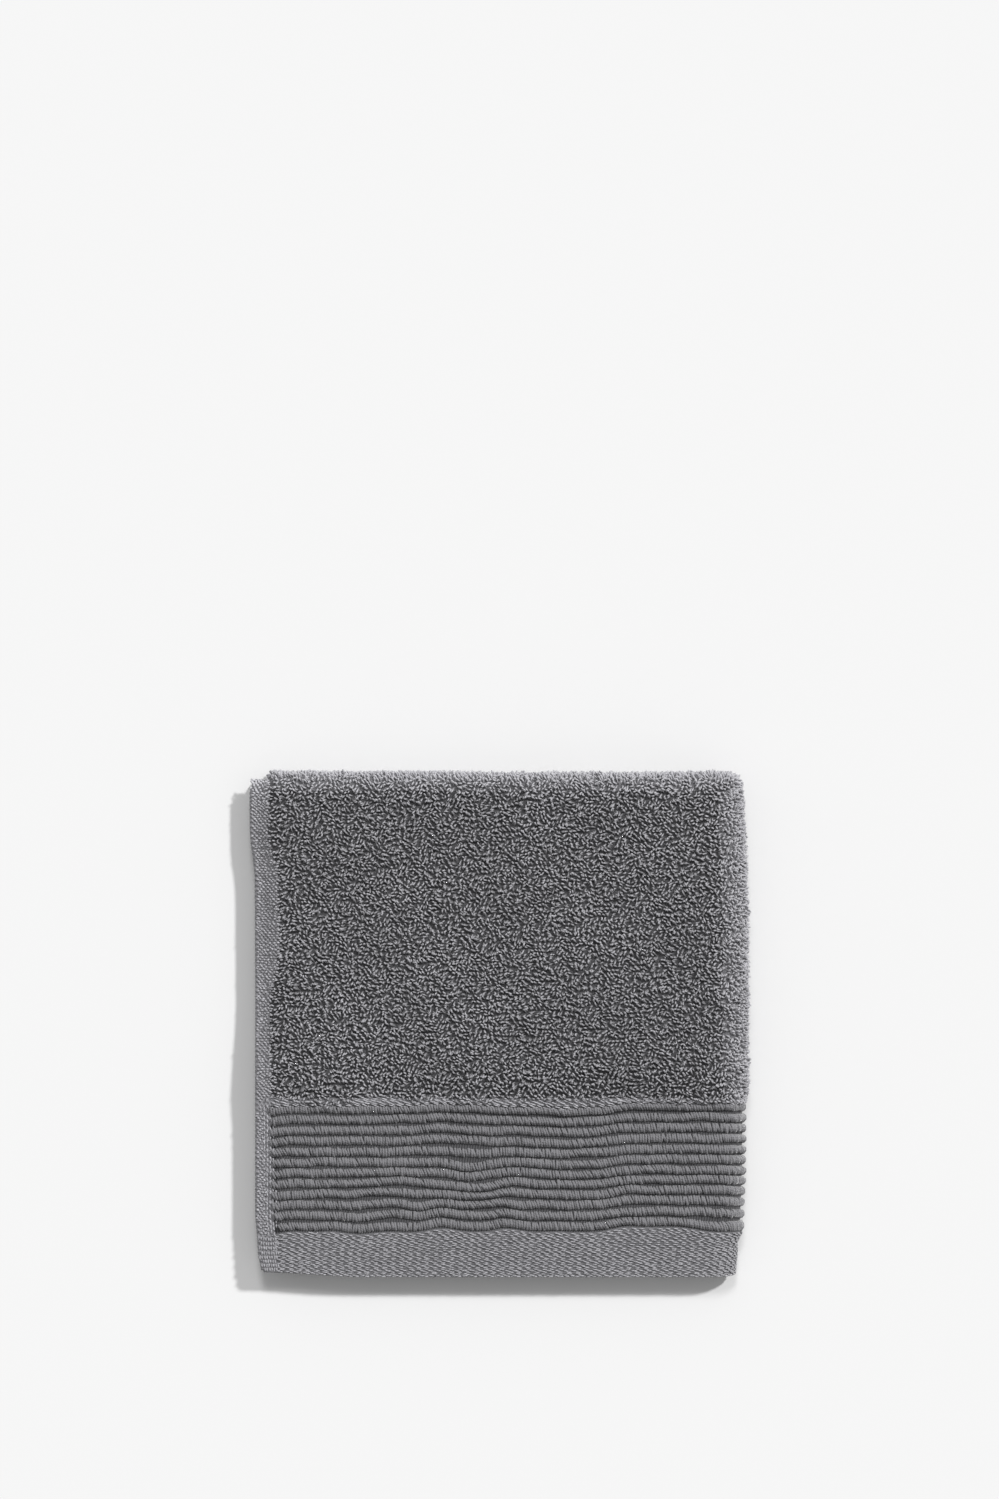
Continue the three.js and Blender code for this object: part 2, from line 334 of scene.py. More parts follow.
def fold(along, across, offset):
    """Point of the folded cloth at an offset from its layer's middle, towards the ribbed face."""
    x, y0 = flat_place(along, across)
    inside, upper = layer_parts(along, across)
    hem = np.clip(1 - (y0 - FRONT) / (HEM_DEPTH / 2), 0, 1)
    rise = HEM_RISE * ease(x, *HEM_RISE_OVER)
    y = y0 + hem * (layer_mix(HEM_INSETS, inside, upper) + rise)
    outside = 1 - inside
    y = y + upper * outside * rib_shift(x, y0)
    half = room(x, y) / 2
    mid = half + LAYER_GAP / 2
    back = np.radians(-90 + 180 * inside)
    radius = mid + offset
    y = y - DRAWN_IN * ease(x, *DRAWN_OVER) * ease(y0, DRAWN_FROM, FOLD_LINE)
    y = y + (radius + BACK_REACH - LAYER_GAP / 2 - 2 * half) * np.cos(back)
    h = half + mid + radius * np.sin(back)
    middle = fold_height(x, y0)
    side = np.radians(-90 + 180 * upper)
    point = np.stack([
        x + (middle - h + side_nose(y0)) * np.cos(side),
        y,
        middle + (middle - h) * np.sin(side),
    ], axis=-1)
    point[..., 2] *= 1 + swell(point[..., 0], y) / (2 * middle)
    point[..., 2] = np.maximum(point[..., 2], FLOOR_CLEARANCE)
    return point


def cord_profile(y):
    """Height of the corded ribs, 0 in a valley and 1 on a crest."""
    phase = np.abs(((rib_number(y) + 0.5) % 1.0) - 0.5) / 0.5
    return 1 - np.clip(phase, 0, 1) ** CREST_FULLNESS


def pile_mask(x, y):
    pile = pile_line(y)
    beside = ease(x, pile - PILE_BLUR / 2, pile + PILE_BLUR / 2)
    return beside * ease(y, PILE_FROM - PILE_BLUR, PILE_FROM)


def rib_mask(x, y):
    start = pile_line(y)
    ends = ease(x, start + RIBS_START, start + RIBS_RISEN)
    return ends * (y > RIBS_FROM) * (y < RIBS_TO)


def sheet_offset(along, across, ribbed):
    x, y = flat_place(along, across)
    half = room(x, y) / 2
    weave = np.minimum(WEAVE_HALF, half)
    ground = mix(weave, GROUND_HALF, pile_mask(x, y))
    if not ribbed:
        return -ground
    cords = half - RIB_DEPTH * (1 - cord_profile(y))
    covered = (along < 0) & (across > CORDS_FROM)
    cords = np.where(covered, np.maximum(cords - CORD_INSET, VALLEY_FLOOR), cords)
    cords = np.maximum(cords, weave * ease(y, RIBS_TO - BAND_GONE_AT, RIBS_TO - BAND_WHOLE_TO))
    return mix(ground, cords, rib_mask(x, y))


# The woven cloth

# Distance from the cloth's edges at which its rounded rim starts.
RIM = 0.6

# Steps of the sheet's rows: hem, ribs, band, pile and near the fold, the turn, then inside in reverse.
NEAR_FOLD = 8
ROW_STEPS = (8, RIB_COUNT * 6, 4, 18, 5, 14, 4, 6, 2, RIB_COUNT * 4, 4)

# Where the sheet's columns change pace beside a selvedge, and their steps on the lower layers with
# the side turn, and on the upper layers.
EDGE_STOPS = (4, 8, 24)
LOWER_STEPS = (3, 8, 4, 12, 16)
UPPER_STEPS = (64, 12, 6)

# Numbers of the cloth's materials. Those of band and selvedge stop short of the pile's line.
UNDER_PILE, RIBS, HEM, SELVEDGE, BAND, TURN = range(6)
BAND_SHORT = 0.1
SELVEDGE_SHORT = 0.3

# Slopes of the rim's three lines, in degrees, and the step back that shows which way is outwards.
RIM_SLOPES = (45, 0, -45)
STEP_BACK = 0.5


def spaced(stops, steps):
    """A rising list with so many steps from each stop to the next."""
    parts = [np.linspace(a, b, n, endpoint=False) for a, b, n in zip(stops[:-1], stops[1:], steps)]
    return np.concatenate(parts + [[stops[-1]]])


def sheet_rows():
    zones = np.array([FRONT, RIBS_FROM, RIBS_TO, PILE_FROM])
    outside = zones - FOLD_LINE
    inside = BACK_TURN + FOLD_LINE - zones[::-1]
    outside[0] += RIM
    inside[-1] -= RIM
    turn = (-NEAR_FOLD, 0, BACK_TURN, BACK_TURN + NEAR_FOLD)
    return spaced((*outside, *turn, *inside), ROW_STEPS)


def sheet_columns():
    lower = (RIM, *EDGE_STOPS, HALF_WIDTH)
    upper = (CLOTH_WIDTH - EDGE_STOPS[1], CLOTH_WIDTH - EDGE_STOPS[0], CLOTH_WIDTH - RIM)
    return spaced((*lower, TURNED, *upper), (*LOWER_STEPS, *UPPER_STEPS))


def grid_faces(rows, columns, first=0, flip=False):
    """Quads of a grid of points whose numbers start at first."""
    r, c = np.meshgrid(np.arange(rows - 1), np.arange(columns - 1), indexing="ij")
    a = first + r * columns + c
    quads = np.stack([a, a + 1, a + columns + 1, a + columns], axis=-1).reshape(-1, 4)
    return quads[:, ::-1] if flip else quads


def make_mesh(name, points, quads, corner_uv, uv_name, materials, material_index=None):
    """A mesh object from arrays of points in millimetres and quads."""
    mesh = bpy.data.meshes.new(name)
    mesh.vertices.add(len(points))
    mesh.vertices.foreach_set("co", (points * MM).astype(np.float32).ravel())
    mesh.loops.add(quads.size)
    mesh.loops.foreach_set("vertex_index", quads.astype(np.int32).ravel())
    mesh.polygons.add(len(quads))
    mesh.polygons.foreach_set("loop_start", np.arange(0, quads.size, 4, dtype=np.int32))
    if material_index is not None:
        mesh.polygons.foreach_set("material_index", material_index.astype(np.int32))
    mesh.update(calc_edges=True)
    mesh.validate()
    mesh.polygons.foreach_set("use_smooth", np.ones(len(mesh.polygons), dtype=bool))
    uv = mesh.uv_layers.new(name=uv_name)
    uv.data.foreach_set("uv", corner_uv.astype(np.float32).ravel())
    for material in materials:
        mesh.materials.append(material)
    piece = bpy.data.objects.new(name, mesh)
    bpy.context.scene.collection.objects.link(piece)
    return piece


def rim_points(along, across, out_along, out_across):
    """Rounded edge of the cloth: three points between the faces, pushed outwards."""
    x, y = flat_place(along, across)
    thick = np.minimum(WEAVE_HALF, room(x, y) / 2)
    rim = []
    for degrees in RIM_SLOPES:
        out = thick * math.cos(math.radians(degrees))
        height = thick * math.sin(math.radians(degrees))
        rim.append(fold_out(along, across, height, out * out_along, out * out_across))
    return rim


def fold_out(along, across, offset, push_along, push_across):
    """A folded point carried on past the cloth's edge in its own plane."""
    here = fold(along, across, offset)
    back_along, back_across = STEP_BACK * np.sign(push_along), STEP_BACK * np.sign(push_across)
    heading = unit(here - fold(along - back_along, across - back_across, offset))
    moved = here + heading * np.abs(push_along + push_across)[..., None]
    moved[..., 2] = np.maximum(moved[..., 2], FLOOR_CLEARANCE)
    return moved


def woven_cloth(materials):
    """The whole cloth but its loops: one closed, folded sheet."""
    rows, columns = sheet_rows(), sheet_columns()
    along, across = np.meshgrid(rows, columns, indexing="ij")
    ribbed = fold(along, across, sheet_offset(along, across, True))
    plain = fold(along, across, sheet_offset(along, across, False))
    count = along.size
    uv_point = np.stack([across, along], axis=-1).reshape(-1, 2)

    points = [ribbed.reshape(-1, 3), plain.reshape(-1, 3)]
    uvs = [uv_point, uv_point]
    quads = [grid_faces(len(rows), len(columns)), grid_faces(len(rows), len(columns), count, True)]

    n_rows, n_columns = along.shape
    edges = [
        (np.arange(n_columns), -1, 0),
        (np.arange(n_rows) * n_columns + n_columns - 1, 0, 1),
        ((n_rows - 1) * n_columns + np.arange(n_columns)[::-1], 1, 0),
        (np.arange(n_rows)[::-1] * n_columns, 0, -1),
    ]
    next_point = 2 * count
    for ring, out_along, out_across in edges:
        ring_along, ring_across = along.ravel()[ring], across.ravel()[ring]
        rim = rim_points(ring_along, ring_across, out_along, out_across)
        lines = [ring]
        for line in rim:
            points.append(line)
            uvs.append(np.stack([ring_across, ring_along], axis=-1))
            numbers = next_point + np.arange(len(ring))
            next_point += len(ring)
            lines.append(numbers)
        lines.append(ring + count)
        for first, second in zip(lines[:-1], lines[1:]):
            quads.append(np.stack([first[:-1], second[:-1], second[1:], first[1:]], axis=-1))
    points = np.concatenate(points)
    uvs = np.concatenate(uvs)
    quads = np.concatenate(quads)[:, ::-1]
    index = zone_index(uvs[quads].mean(axis=1))
    return make_mesh("woven_cloth", points, quads, uvs[quads] * UV_SCALE, "cloth", materials, index)


def zone_index(centres):
    """Material of each face, by the place of its centre."""
    across, along = centres.T
    x, y = flat_place(along, across)
    index = np.full(len(x), UNDER_PILE)
    index[np.maximum(*turned_away(along, across)) > 0.5] = TURN
    index[y < PILE_FROM - BAND_SHORT] = BAND
    index[(y < RIBS_TO) & (y >= RIBS_FROM)] = RIBS
    index[y < RIBS_FROM] = HEM
    index[x < pile_line(y) - SELVEDGE_SHORT] = SELVEDGE
    return index


# Terry loops and the yarns of the ribs, all small arches of yarn

# Pitch of the loops, how far their places stray, and how far the feet of all yarns are sunk.
LOOP_ACROSS = 1.24
LOOP_ALONG = 0.97
STRAY_ACROSS = 0.17
STRAY_ALONG = 0.15
FEET_SUNK = 0.1

# How far past the pile's left and lower lines loops start, how far that wanders and single ones stray.
LEFT_START = 0.1
LEFT_WANDER = 0.55
FRONT_START = 0.3
FRONT_WANDER = 0.3
LOOP_STRAY = 0.4

# Loops lie one of two ways, in flocks: both headings, and how loosely they keep to a flock.
RISING = 0.75
FALLING = -0.7
FLOCK_BIAS = -0.1
FLOCK_LOOSE = 0.45

# How far headings drift, their spread, and what is left of them at the left edge.
HEADING_DRIFT = 0.35
HEADING_SPREAD = 0.24
HEADING_AT_LEFT = 0.4
HEADING_GROWS = (0.5, 4.0)
HEADING_SEEDS = 1000

# Loops change towards the pile's edges: by how much, from and to what distance.
SHORTER_AT_LEFT = (0.35, 3.0, 0.0)
SHORTER_AT_FRONT = (0.1, 2.0, 0.0)
# The loops near the pile's edges are made lighter as painted light, where they droop and lie open to the
# light.
LIGHTER_AT_LEFT = (0.26, 2.6, 0.3)
LIGHTER_AT_FRONT = (0.16, 3.0, 0.0)
HEIGHT_DRIFT = 0.1
SHADE_DRIFT = 0.07

# The yarns over the ribs: where they start and stop across the cloth, their pitch and their jitter.
CORDS_FROM = HALF_WIDTH - 12
CORDS_SHORT = 3
CORD_YARN_PITCH = 0.81
CORD_JITTER = 0.06

# Under those yarns the sheet lies lower by the inset, but not below the floor of a valley.
CORD_INSET = 0.75
VALLEY_FLOOR = -0.3

# The band's weave runs on beside the first rib: whole up to one distance, gone at the other.
BAND_WHOLE_TO = 0.4
BAND_GONE_AT = 1.3

# Where each rib's yarns start beside the pile's line, from the pile to the hem, and how that strays.
RIB_STARTS = [-0.9, -0.4, -1.1, -0.6, -0.9, -0.7, -1.2, -0.8, -1.3, -0.9, -0.6, 0.9]
END_STRAY = 0.4

# A rib's left end is rounded off over this length, from this size, and its feet start at this height.
CORD_END = 1.7
CORD_END_SIZE = 0.3
CORD_END_BASE = 0.35
CORD_SETTLES = (0.2, 2.6)

# The first rib is lower than the others. The last one has wider yarns around a place: x, reach, by.
FIRST_RIB_HEIGHT = 0.86
LAST_RIB_FULLER = (71, 9, 0.42)

# Slant of the ribs' yarns, its drift and spread, and the drift of their shade.
CORD_SLANT = 0.3
SLANT_DRIFT = 0.22
SLANT_SPREAD = 0.1
CORD_SHADE_DRIFT = 0.05

# Furthest that a size strays from its mean, in spreads.
OUTERMOST = 2.2

# Thickness of a yarn at its feet and what its top adds, as parts of its radius.
FEET_THICKNESS = 0.8
TOP_ADDS = 0.2

# Furthest along a yarn that its twist may start.
TWIST_STARTS_TO = 3

# Sizes of an arch as (mean, spread): span, height, lean to the side, flop forwards, radius. The lower
# its fullness, the flatter its top. Tone is the spread of its shade about 1.
TERRY = {
    "span": (0.7, 0.13), "height": (1.14, 0.2), "lean": (0.0, 0.34), "flop": (0.3, 0.28),
    "radius": (0.285, 0.03), "fullness": 0.6, "tone": 0.23,
}
CORD = {
    "span": (2.3, 0.1), "height": (1.24, 0.06), "lean": (0.0, 0.03), "flop": (-0.14, 0.05),
    "radius": (0.45, 0.045), "fullness": 1.0, "tone": 0.19,
}


def flat_style(span, height, radius, loose=0.1, tone=0.1):
    """Sizes of yarns that lie flat, and lean and flop about alike."""
    return {"span": span, "height": height, "lean": (0.0, loose), "flop": (0.0, loose),
            "radius": radius, "fullness": 0.6, "tone": tone}


# Span, height and radius as (mean, spread).
HEM_FLOATS = flat_style((1.6, 0.2), (0.2, 0.04), (0.262, 0.02))
HEM_EDGE = flat_style((1.5, 0.15), (0.14, 0.04), (0.27, 0.02))
KNOTS = flat_style((0.5, 0.08), (0.28, 0.06), (0.38, 0.03), tone=0.18)
CHAIN = flat_style((0.95, 0.08), (0.32, 0.05), (0.31, 0.02), loose=0.08, tone=0.12)
BASKET = flat_style((0.95, 0.08), (0.3, 0.05), (0.36, 0.03), loose=0.06)

# How much lighter the yarns are painted on the turns at the back and at the side, as painted light,
# and how much of the painted shade at their feet is taken away there.
BACK_PAINTED_LIGHT = 0.92
SIDE_PAINTED_LIGHT = 0.3
FOLD_FEET_LIT = 0.85

# How much darker the hem's floats are painted where it turns away, as painted shade, and how much
# lighter towards the right.
HEM_SHADE = 0.45
HEM_BRIGHTENS = 0.09
HEM_BRIGHTENS_OVER = (-10, 50)

# Where each turn starts to look turned away and where it fully does, on both its sides.
BACK_STARTS = (-5, 3)
BACK_ENDS = (BACK_TURN, BACK_TURN - 5)
SIDE_STARTS = (TURNED + 6, TURNED - 5)
SIDE_ENDS = (HALF_WIDTH - 2, HALF_WIDTH + 6)
OUTSIDE_TO = 2


def loop_grid(along_from, along_to, across_from, across_to, seed, spread=1.0):
    """Jittered places for loops, in staggered rows."""
    rng = default_rng(seed)
    rows = np.arange(along_from, along_to, LOOP_ALONG * spread)
    columns = np.arange(across_from, across_to, LOOP_ACROSS * spread)
    along, across = np.meshgrid(rows, columns, indexing="ij")
    stagger = (np.arange(len(rows)) % 2)[:, None] * LOOP_ACROSS * spread / 2
    across = across + stagger + rng.normal(0, STRAY_ACROSS, along.shape)
    along = along + rng.normal(0, STRAY_ALONG, along.shape)
    return along.ravel(), across.ravel()


def part(places, keep):
    return places[0][keep], places[1][keep]


def pile_edges(along, across):
    """How far inside the pile's left and lower edges a place lies."""
    x, y = flat_place(along, across)
    inside, upper = layer_parts(along, across)
    left = pile_line(y) - LEFT_START + LEFT_WANDER * wander(y, x * 0, "left edge")
    drawn = mix(PILE_FROM, station(TUFT_X, TUFT_Y, x), upper * (1 - inside))
    front = drawn - FRONT_START + FRONT_WANDER * wander(x, y * 0, "front edge")
    return x - left, y - front


def keep_on_pile(along, across, rng):
    """Leaves out loops that would stand on the selvedge, band, ribs or hem."""
    from_left, from_front = pile_edges(along, across)
    stray = rng.normal(0, LOOP_STRAY, len(along))
    keep = (from_left > stray) & (from_front > 0) & (across < CLOTH_WIDTH) & (across > 0)
    return along[keep], across[keep]


def turned_away(along, across):
    """How far the cloth turns away at the back and at the side: 0 on the flat, 1 on the turn."""
    back = ease(along, *BACK_STARTS) * ease(along, *BACK_ENDS)
    side = ease(across, *SIDE_STARTS) * ease(across, *SIDE_ENDS)
    return back, side * (along < OUTSIDE_TO)


def unit(v):
    return v / np.linalg.norm(v, axis=-1, keepdims=True)


def local_frames(along, across, offset, side):
    """Ground point and directions across the cloth, along it and out of it."""
    step = 0.4
    here = fold(along, across, offset)
    out = unit(fold(along, across, offset + side * step) - here + np.array([0, 0, 1e-6]))
    right = fold(along, across + step, offset) - here
    right = unit(right - out * np.sum(right * out, axis=-1, keepdims=True))
    ahead = np.cross(out, right)
    return here, right, ahead, out


def arches(name, along, across, offset, side, heading, style, seed, material, rings=4, sides=4,
           tall=1.0, wide=1.0, light=1.0):
    """Many small arches of yarn on one face of the cloth, joined into one mesh."""
    rng = default_rng(seed)
    n = len(along)
    here, right, ahead, out = local_frames(along, across, offset, side)
    run = right * np.cos(heading)[:, None] + ahead * np.sin(heading)[:, None]
    beside = np.cross(out, run)

    def spread_about(mean, spread):
        return mean + spread * np.clip(rng.normal(size=n), -OUTERMOST, OUTERMOST)

    def size(key, scale=1.0):
        return (spread_about(*style[key]) * scale)[:, None]

    span, height = size("span", wide), size("height", tall)
    lean, flop, radius = size("lean"), size("flop"), size("radius")

    t = np.linspace(0, 1, rings)[None, :]
    arch = np.sin(math.pi * t)
    rise = height * arch ** style["fullness"]
    go = -span / 2 * np.cos(math.pi * t) + flop * rise
    aside = lean * rise
    path = (here[:, None, :] + run[:, None, :] * go[..., None]
            + beside[:, None, :] * aside[..., None] + out[:, None, :] * rise[..., None])
    tangent = unit(np.gradient(path, axis=1))
    normal = unit(np.cross(tangent, beside[:, None, :]))
    binormal = np.cross(tangent, normal)
    thick = radius * (FEET_THICKNESS + TOP_ADDS * arch)
    turn = 2 * math.pi * (np.arange(sides) + 0.5) / sides
    ring = (normal[:, :, None, :] * np.cos(turn)[None, None, :, None]
            + binormal[:, :, None, :] * np.sin(turn)[None, None, :, None])
    points = path[:, :, None, :] + ring * thick[:, :, None, None]
    points[..., 2] = np.maximum(points[..., 2], FLOOR_CLEARANCE)

    number = np.arange(n)[:, None, None] * rings * sides
    ring_no = np.arange(rings - 1)[None, :, None] * sides
    side_no = np.arange(sides)[None, None, :]
    next_no = (side_no + 1) % sides
    a = number + ring_no + side_no
    b = number + ring_no + next_no
    quads = np.stack([a, b, b + sides, a + sides], axis=-1).reshape(-1, 4)

    length = np.cumsum(np.linalg.norm(np.diff(path, axis=1), axis=-1), axis=1)
    length = np.concatenate([np.zeros((n, 1)), length], axis=1)
    length = length + rng.uniform(0, TWIST_STARTS_TO, n)[:, None]
    u0 = np.broadcast_to(side_no / sides, (n, rings - 1, sides))
    v0 = np.broadcast_to(length[:, :-1, None], u0.shape)
    v1 = np.broadcast_to(length[:, 1:, None], u0.shape)
    u1 = u0 + 1 / sides
    uv = np.stack([np.stack([u0, v0], -1), np.stack([u1, v0], -1),
                   np.stack([u1, v1], -1), np.stack([u0, v1], -1)], axis=-2)
    piece = make_mesh(name, points.reshape(-1, 3), quads, uv.reshape(-1, 2), "yarn", [material])
    back, beside_fold = turned_away(along, across)
    # Painted light on the turns: a lighter tone, and less painted shade at the yarns' feet.
    turn_light = 1 + np.maximum(BACK_PAINTED_LIGHT * back, SIDE_PAINTED_LIGHT * beside_fold)
    tone = np.repeat(spread_about(1.0, style["tone"]) * light * turn_light, rings * sides)
    feet_lit_on_turns = FOLD_FEET_LIT * np.maximum(back, beside_fold)[:, None]
    # A ramp from the feet to the top of each arch, for the painted shade at the yarns' feet.
    foot_shade_ramp = np.repeat(mix(np.broadcast_to(arch, (n, rings)), 1.0, feet_lit_on_turns).ravel(), sides)
    for label, values in (("tone", tone), ("foot_shade_ramp", foot_shade_ramp)):
        attribute = piece.data.attributes.new(label, "FLOAT", "POINT")
        attribute.data.foreach_set("value", values.astype(np.float32))
    return piece


def towards(distance, by, start, end):
    """A change that grows from one distance to another."""
    return by * ease(distance, start, end)


def terry(name, places, ribbed, rings, sides, seed):
    """Terry loops in flocks that lie two ways, lower at the pile's edges and lighter there by painted
    light.
    """
    rng = default_rng(seed + HEADING_SEEDS)
    along, across = keep_on_pile(*places, rng)
    flock = wander(across, along, "flock") + rng.normal(FLOCK_BIAS, FLOCK_LOOSE, len(along))
    heading = HEADING_DRIFT * wander(across, along, "heading") + np.where(flock > 0, RISING, FALLING)
    heading = heading + rng.normal(0, HEADING_SPREAD, len(along))
    from_left, from_front = pile_edges(along, across)
    heading = heading * mix(HEADING_AT_LEFT, 1.0, ease(from_left, *HEADING_GROWS))
    tall = 1 - towards(from_left, *SHORTER_AT_LEFT) - towards(from_front, *SHORTER_AT_FRONT)
    tall = tall + HEIGHT_DRIFT * wander(across, along, "height")
    light = 1 + SHADE_DRIFT * wander(across, along, "shade") + towards(from_front, *LIGHTER_AT_FRONT)
    light = light + towards(from_left, *LIGHTER_AT_LEFT)
    x, y = flat_place(along, across)
    for shade_x, shade_y, reach, by in PILE_SHADES:
        light = light + by * hump(np.hypot(x - shade_x, y - shade_y), reach)
    back, _ = turned_away(along, across)
    for tuft_x, reach, by in BACK_TUFTS:
        tall = tall + by * back * hump(x - tuft_x, reach)
    side = 1 if ribbed else -1
    offset = side * (mix(WEAVE_HALF, GROUND_HALF, pile_mask(x, y)) - FEET_SUNK)
    return arches(name, along, across, offset, side, heading, TERRY, seed, LOOP, rings, sides,
                  tall=tall, light=light)


def cord_yarns(name, ribs, seed):
    """Yarns that lie side by side over the ribs of the outer layer, rounded off at the ends."""
    rng = default_rng(seed)
    count = int((CLOTH_WIDTH - CORDS_SHORT - CORDS_FROM) / CORD_YARN_PITCH)
    along, across, stray = [], [], []
    for rib in ribs:
        y = RIBS_TO - (rib - 0.5) * RIB_PITCH
        number = np.arange(count) + rng.normal(0, CORD_JITTER, count)
        across.append(CORDS_FROM + CORD_YARN_PITCH * number)
        along.append(np.full(count, y - FOLD_LINE))
        start = RIB_STARTS[rib - 1]
        stray.append(np.full(count, start + rng.uniform(-END_STRAY, END_STRAY)))
    along, across, stray = (np.concatenate(each) for each in (along, across, stray))
    x, y = flat_place(along, across)
    inside = x - pile_line(y) - stray
    keep = inside > 0
    along, across, x, y, inside = along[keep], across[keep], x[keep], y[keep], inside[keep]
    end = 1 - np.clip(inside / CORD_END, 0, 1)
    rounded = np.sqrt(1 - end ** 2)
    first = y > RIBS_TO - RIB_PITCH
    wide = mix(CORD_END_SIZE, 1.0, rounded)
    tall = wide * np.where(first, FIRST_RIB_HEIGHT, 1.0)
    last = y < RIBS_FROM + RIB_PITCH
    fuller_x, reach, by = LAST_RIB_FULLER
    wide = wide + last * by * hump(x - fuller_x, reach)
    slant = CORD_SLANT + SLANT_DRIFT * wander(across, along, "rib slant")
    slant = slant + rng.normal(0, SLANT_SPREAD, len(x))
    settled = ease(inside, *CORD_SETTLES)
    base = mix(CORD_END_BASE, room(x, y) / 2 - RIB_DEPTH - FEET_SUNK, settled)
    along = along + rng.normal(0, CORD_JITTER, len(x))
    light = 1 + CORD_SHADE_DRIFT * wander(across, along, "rib shade")
    return arches(name, along, across, base, 1, math.pi / 2 + slant, CORD, seed, CORD_YARN,
                  rings=6, sides=3, tall=tall, wide=wide, light=light)


def lattice(along_from, along_to, across_from, across_to, row, column, jitter, seed):
    """Places in rows, every other row moved half a step."""
    rng = default_rng(seed)
    rows = np.arange(along_from, along_to, row)
    columns = np.arange(across_from, across_to, column)
    along, across = np.meshgrid(rows, columns, indexing="ij")
    across = across + (np.arange(len(rows)) % 2)[:, None] * column / 2
    along = along + rng.normal(0, jitter, along.shape)
    across = across + rng.normal(0, jitter, along.shape)
    return along.ravel(), across.ravel()


def floats(name, along, across, keep, heading, style, seed, material):
    """Short stretches of yarn that lie on the woven face, with painted shade at the hem's folded end."""
    along, across, heading = along[keep], across[keep], heading[keep]
    base = sheet_offset(along, across, True) - FEET_SUNK
    _, beside_fold = turned_away(along, across)
    on_hem = along < HEM_ALONG + HEM_DEPTH
    x = flat_place(along, across)[0]
    light = 1 - on_hem * (HEM_SHADE * beside_fold - towards(x, HEM_BRIGHTENS, *HEM_BRIGHTENS_OVER))
    return arches(name, along, across, base, 1, heading, style, seed, material, light=light)


# The woven face repeats in three threads, each with its floats moved along by so many floats.
WOVEN_ROW = 0.47
WOVEN_FLOAT = 2.65
WOVEN_SHIFTS = np.array([0.0, 0.48, 0.54])
WOVEN_DRIFT = 0.09
WOVEN_FROM = HALF_WIDTH - 8
WOVEN_STRAY_ACROSS = 0.16
WOVEN_STRAY_ALONG = 0.035

# How the floats of hem and band head: mean, smooth drift, spread.
HEM_HEADING = (-0.12, 0.05, 0.06)
BAND_HEADING = (-0.25, 0.15, 0.1)

# How far the hem's floats start inside its edge, stop short of the ribs and reach past the pile's line.
FLOATS_IN = 0.5
FLOATS_SHORT = 0.1
FLOATS_PAST = 0.6

# How far the band's floats reach into the ribs and the pile, past the pile's line and under its loops.
BAND_INTO_RIBS = 0.8
BAND_INTO_PILE = 1.6
BAND_PAST = 0.2
BAND_UNDER_LOOPS = 0.6

# The yarn along the hem's edge: pitch of its arches, how far in, how high and how its heading spreads.
HEM_EDGE_PITCH = 1.7
HEM_EDGE_IN = 0.22
HEM_EDGE_BASE = 0.34
HEM_EDGE_SPREAD = 0.06
HEM_EDGE_OVER = (HALF_WIDTH - 4, CLOTH_WIDTH - 1)


def woven_lattice(along_from, along_to, seed):
    """Places of the floats of the hem's weave over a stretch of the outer layer."""
    rng = default_rng(seed)
    rows = np.arange(along_from, along_to, WOVEN_ROW)
    columns = np.arange(WOVEN_FROM, CLOTH_WIDTH, WOVEN_FLOAT)
    along, across = np.meshgrid(rows, columns, indexing="ij")
    number = np.arange(len(rows))
    shift = WOVEN_SHIFTS[number % 3] + WOVEN_DRIFT * (number // 3)
    across = across - (shift[:, None] % 1.0) * WOVEN_FLOAT
    across = across + rng.normal(0, WOVEN_STRAY_ACROSS, along.shape)
    along = along + rng.normal(0, WOVEN_STRAY_ALONG, along.shape)
    return along.ravel(), across.ravel()


def float_headings(along, across, field, mean, drift, spread, seed):
    """Headings of floats: a mean, a smooth drift and a spread."""
    own = default_rng(seed).normal(0, spread, len(along))
    return mean + drift * wander(across, along, field) + own


def hem_floats():
    """Short slanting floats all over the hem."""
    along, across = woven_lattice(HEM_ALONG + FLOATS_IN, HEM_ALONG + HEM_DEPTH, seed=51)
    x, y = flat_place(along, across)
    keep = (y < RIBS_FROM - FLOATS_SHORT) & (x > pile_line(y) - FLOATS_PAST)
    heading = float_headings(along, across, "hem", *HEM_HEADING, seed=61)
    return floats("hem_floats", along, across, keep, heading, HEM_FLOATS, seed=53, material=HEM_YARN)


def hem_edge():
    """The yarn along the hem's outer edge, made light as a painted highlight along the edge."""
    across = np.arange(*HEM_EDGE_OVER, HEM_EDGE_PITCH)
    along = np.full(len(across), HEM_ALONG + HEM_EDGE_IN)
    base = np.full(len(across), HEM_EDGE_BASE)
    heading = default_rng(64).normal(0, HEM_EDGE_SPREAD, len(across))
    return arches("hem_edge", along, across, base, 1, heading, HEM_EDGE, seed=65, material=HEM_EDGE_HIGHLIGHT)


def band_floats():
    """The same weave on the flat band between the pile and the first rib."""
    start = RIBS_TO - BAND_INTO_RIBS - FOLD_LINE
    along, across = woven_lattice(start, PILE_FROM + BAND_INTO_PILE - FOLD_LINE, seed=58)
    x, y = flat_place(along, across)
    _, from_front = pile_edges(along, across)
    keep = (x > pile_line(y) - BAND_PAST) & (from_front < BAND_UNDER_LOOPS)
    heading = float_headings(along, across, "band", *BAND_HEADING, seed=63)
    return floats("band_floats", along, across, keep, heading, HEM_FLOATS, seed=60, material=BAND_YARN)


# Width that holds the upper selvedge, and how far its yarns keep off its edge.
SELVEDGE_SPREAD = 9
EDGE_BARE = 0.35

